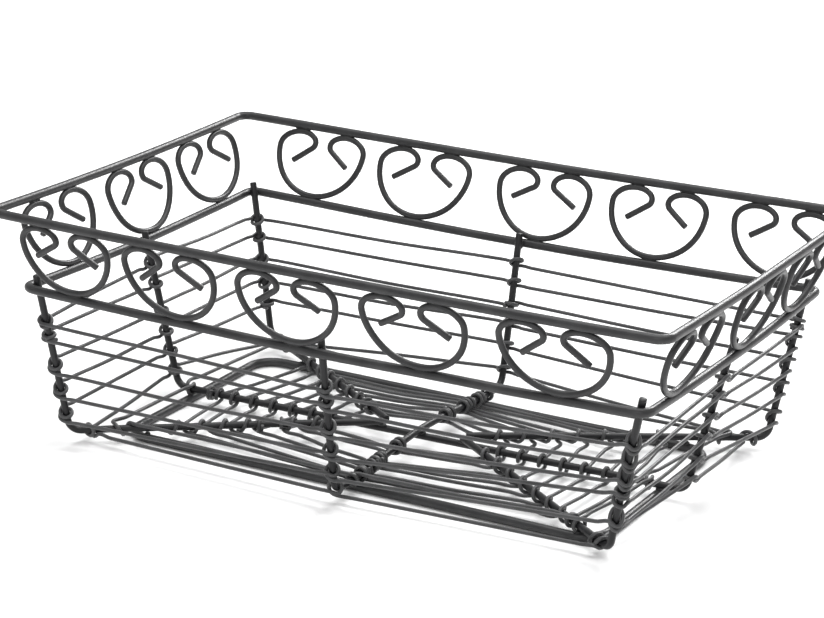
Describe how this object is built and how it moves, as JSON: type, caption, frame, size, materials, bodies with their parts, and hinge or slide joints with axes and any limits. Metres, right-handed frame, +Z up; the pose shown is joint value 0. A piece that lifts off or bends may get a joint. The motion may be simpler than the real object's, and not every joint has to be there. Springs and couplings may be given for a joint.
{
  "type": "wire display basket",
  "caption": "Rectangular flared wire basket with a band of heart-shaped scrolls between two rims, woven thin-wire walls and floor and a ring foot, for displaying or serving small goods.",
  "frame": {"origin": "bottom centre of the bounding box: the foot ring rests on z = 0", "axes": "+X along the long sides, -Y faces the front long side, +Z up"},
  "size_m": [0.3746, 0.2446, 0.1301],
  "materials": {
    "floor_wire_1": "satin black powder coat on steel wire",
    "floor_wire_2": "satin black powder coat on steel wire",
    "floor_wire_3": "satin black powder coat on steel wire",
    "floor_wire_4": "satin black powder coat on steel wire",
    "floor_wire_5": "satin black powder coat on steel wire",
    "floor_wire_6": "satin black powder coat on steel wire",
    "floor_wire_7": "satin black powder coat on steel wire",
    "floor_wire_8": "satin black powder coat on steel wire",
    "foot_ring": "satin black powder coat on steel wire",
    "lower_rim": "satin black powder coat on steel wire",
    "rib_corner_front_left": "satin black powder coat on steel wire",
    "rib_corner_front_right": "satin black powder coat on steel wire",
    "rib_corner_rear_left": "satin black powder coat on steel wire",
    "rib_corner_rear_right": "satin black powder coat on steel wire",
    "rib_cross": "satin black powder coat on steel wire",
    "rib_long": "satin black powder coat on steel wire",
    "scroll_front_1": "satin black powder coat on steel wire",
    "scroll_front_2": "satin black powder coat on steel wire",
    "scroll_front_3": "satin black powder coat on steel wire",
    "scroll_front_4": "satin black powder coat on steel wire",
    "scroll_front_5": "satin black powder coat on steel wire",
    "scroll_left_1": "satin black powder coat on steel wire",
    "scroll_left_2": "satin black powder coat on steel wire",
    "scroll_left_3": "satin black powder coat on steel wire",
    "scroll_rear_1": "satin black powder coat on steel wire",
    "scroll_rear_2": "satin black powder coat on steel wire",
    "scroll_rear_3": "satin black powder coat on steel wire",
    "scroll_rear_4": "satin black powder coat on steel wire",
    "scroll_rear_5": "satin black powder coat on steel wire",
    "scroll_right_1": "satin black powder coat on steel wire",
    "scroll_right_2": "satin black powder coat on steel wire",
    "scroll_right_3": "satin black powder coat on steel wire",
    "top_rim": "satin black powder coat on steel wire",
    "wall_wire_1": "satin black powder coat on steel wire",
    "wall_wire_2": "satin black powder coat on steel wire",
    "wall_wire_3": "satin black powder coat on steel wire",
    "wall_wire_4": "satin black powder coat on steel wire",
    "wall_wire_5": "satin black powder coat on steel wire",
    "wall_wire_6": "satin black powder coat on steel wire"
  },
  "bodies": {
    "root": {"floor_wire_1": "floor_wire_1", "floor_wire_2": "floor_wire_2", "floor_wire_3": "floor_wire_3", "floor_wire_4": "floor_wire_4", "floor_wire_5": "floor_wire_5", "floor_wire_6": "floor_wire_6", "floor_wire_7": "floor_wire_7", "floor_wire_8": "floor_wire_8", "foot_ring": "foot_ring", "lower_rim": "lower_rim", "rib_corner_front_left": "rib_corner_front_left", "rib_corner_front_right": "rib_corner_front_right", "rib_corner_rear_left": "rib_corner_rear_left", "rib_corner_rear_right": "rib_corner_rear_right", "rib_cross": "rib_cross", "rib_long": "rib_long", "scroll_front_1": "scroll_front_1", "scroll_front_2": "scroll_front_2", "scroll_front_3": "scroll_front_3", "scroll_front_4": "scroll_front_4", "scroll_front_5": "scroll_front_5", "scroll_left_1": "scroll_left_1", "scroll_left_2": "scroll_left_2", "scroll_left_3": "scroll_left_3", "scroll_rear_1": "scroll_rear_1", "scroll_rear_2": "scroll_rear_2", "scroll_rear_3": "scroll_rear_3", "scroll_rear_4": "scroll_rear_4", "scroll_rear_5": "scroll_rear_5", "scroll_right_1": "scroll_right_1", "scroll_right_2": "scroll_right_2", "scroll_right_3": "scroll_right_3", "top_rim": "top_rim", "wall_wire_1": "wall_wire_1", "wall_wire_2": "wall_wire_2", "wall_wire_3": "wall_wire_3", "wall_wire_4": "wall_wire_4", "wall_wire_5": "wall_wire_5", "wall_wire_6": "wall_wire_6"}
  },
  "joints": []
}
